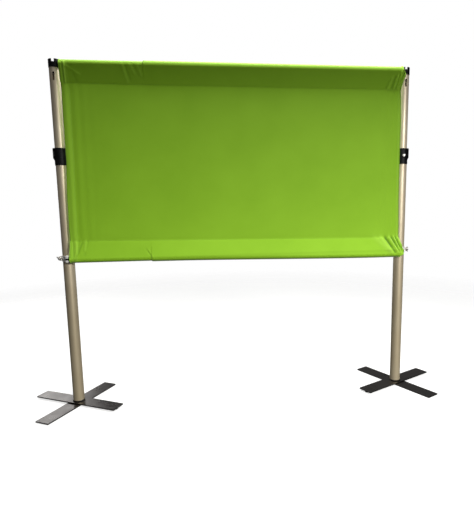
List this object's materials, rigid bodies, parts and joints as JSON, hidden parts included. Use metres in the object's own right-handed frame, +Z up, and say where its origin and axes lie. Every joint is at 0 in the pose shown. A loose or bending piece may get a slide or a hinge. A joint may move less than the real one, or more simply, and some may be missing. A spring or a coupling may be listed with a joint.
{
  "type": "collapsible backdrop panel",
  "caption": "Free-standing backdrop panel: a stretch fabric sheet on two telescopic crossbars between telescopic uprights with lever locks and fold-flat crossed feet.",
  "frame": {"origin": "on the floor, midway between the two uprights", "axes": "+Z up, +X to the right seen from the front, +Y towards the back; the cloth hangs on the front of the uprights"},
  "size_m": [2.0392, 0.4392, 1.572],
  "materials": {
    "tube_aluminium": "champagne anodised, satin, fine drawing lines along the tube",
    "crossbar_aluminium": "mill-finish drawn tube, satin",
    "foot_steel": "charcoal powder coat, fine texture, rubbed at the edges",
    "bright_steel": "bright zinc-nickel plate",
    "bolt_steel": "dull zinc plate",
    "black_plastic": "black moulded nylon, fine spark texture",
    "guide_plastic": "black slip-grade plastic",
    "pad_rubber": "black rubber",
    "green_fabric": "bright green stretch knit, matt with a slight sheen"
  },
  "bodies": {
    "left_stand": {"left_lower_bar": "foot_steel", "left_lower_bar_pads": "pad_rubber", "left_base_bolt": "bolt_steel", "left_pivot_washers": "bolt_steel", "left_spigot": "foot_steel", "left_lower_tube": "tube_aluminium", "left_tube_screw": "bright_steel", "left_collar_body": "black_plastic", "left_collar_bush": "guide_plastic", "left_lever_pin": "bolt_steel", "left_collar_screw": "bright_steel"},
    "left_lever": {"left_lock_lever": "black_plastic"},
    "left_foot_fold": {"left_upper_bar": "foot_steel", "left_upper_bar_pads": "pad_rubber"},
    "panel_left": {"left_upper_tube": "tube_aluminium", "left_upper_tube_bush": "guide_plastic", "left_cap": "black_plastic", "left_top_hook": "black_plastic", "left_bottom_hook": "black_plastic", "left_bracket": "bright_steel", "left_hitch_pin": "bright_steel", "left_bracket_bolt": "bolt_steel", "top_inner_bar": "crossbar_aluminium", "bottom_inner_bar": "crossbar_aluminium", "bar_end_plugs": "guide_plastic", "backdrop_field_gather": "green_fabric", "top_pocket_gather": "green_fabric", "bottom_pocket_gather": "green_fabric"},
    "left_wing": {"left_wing_nut": "bolt_steel"},
    "panel_right": {"right_upper_tube": "tube_aluminium", "right_upper_tube_bush": "guide_plastic", "right_cap": "black_plastic", "right_top_hook": "black_plastic", "right_bottom_hook": "black_plastic", "right_bracket": "bright_steel", "right_hitch_pin": "bright_steel", "right_bracket_bolt": "bolt_steel", "top_outer_bar": "crossbar_aluminium", "bottom_outer_bar": "crossbar_aluminium", "bar_mouth_bushes": "guide_plastic", "backdrop_field": "green_fabric", "top_pocket": "green_fabric", "bottom_pocket": "green_fabric"},
    "right_wing": {"right_wing_nut": "bolt_steel"},
    "right_stand": {"right_lower_bar": "foot_steel", "right_lower_bar_pads": "pad_rubber", "right_base_bolt": "bolt_steel", "right_pivot_washers": "bolt_steel", "right_spigot": "foot_steel", "right_lower_tube": "tube_aluminium", "right_tube_screw": "bright_steel", "right_collar_body": "black_plastic", "right_collar_bush": "guide_plastic", "right_lever_pin": "bolt_steel", "right_collar_screw": "bright_steel"},
    "right_lever": {"right_lock_lever": "black_plastic"},
    "right_foot_fold": {"right_upper_bar": "foot_steel", "right_upper_bar_pads": "pad_rubber"}
  },
  "joints": [
    {"name": "height_slide", "type": "slide", "parent": "left_stand", "child": "panel_left", "axis": [0, 0, 1], "range_m": [-0.27, 0.39]},
    {"name": "width_slide", "type": "slide", "parent": "panel_left", "child": "panel_right", "axis": [1, 0, 0], "range_m": [-0.2, 0], "deforming": ["backdrop_field_gather", "top_pocket_gather", "bottom_pocket_gather"]},
    {"name": "right_height_slide", "type": "slide", "parent": "panel_right", "child": "right_stand", "axis": [0, 0, -1], "range_m": [-0.27, 0.39]},
    {"name": "left_lock_lever_hinge", "type": "hinge", "parent": "left_stand", "child": "left_lever", "pos_m": [-0.82596, -0.0138, 1.1755], "axis": [0, 0, 1], "range_deg": [0, 105]},
    {"name": "left_foot_hinge", "type": "hinge", "parent": "left_stand", "child": "left_foot_fold", "pos_m": [-0.8, 0, 0.01115], "axis": [0, 0, 1], "range_deg": [-72, 72]},
    {"name": "left_wing_nut_spin", "type": "hinge", "parent": "panel_left", "child": "left_wing", "pos_m": [-0.839, -0.0125, 0.704], "axis": [0, -1, 0], "continuous": true},
    {"name": "right_lock_lever_hinge", "type": "hinge", "parent": "right_stand", "child": "right_lever", "pos_m": [0.82596, 0.0138, 1.1755], "axis": [0, 0, 1], "range_deg": [0, 105]},
    {"name": "right_foot_hinge", "type": "hinge", "parent": "right_stand", "child": "right_foot_fold", "pos_m": [0.8, 0, 0.01115], "axis": [0, 0, 1], "range_deg": [-72, 72]},
    {"name": "right_wing_nut_spin", "type": "hinge", "parent": "panel_right", "child": "right_wing", "pos_m": [0.839, -0.0125, 0.704], "axis": [0, -1, 0], "continuous": true}
  ],
  "couplings": [
    {"joint": "right_height_slide", "follows": "height_slide", "ratio": 1}
  ]
}
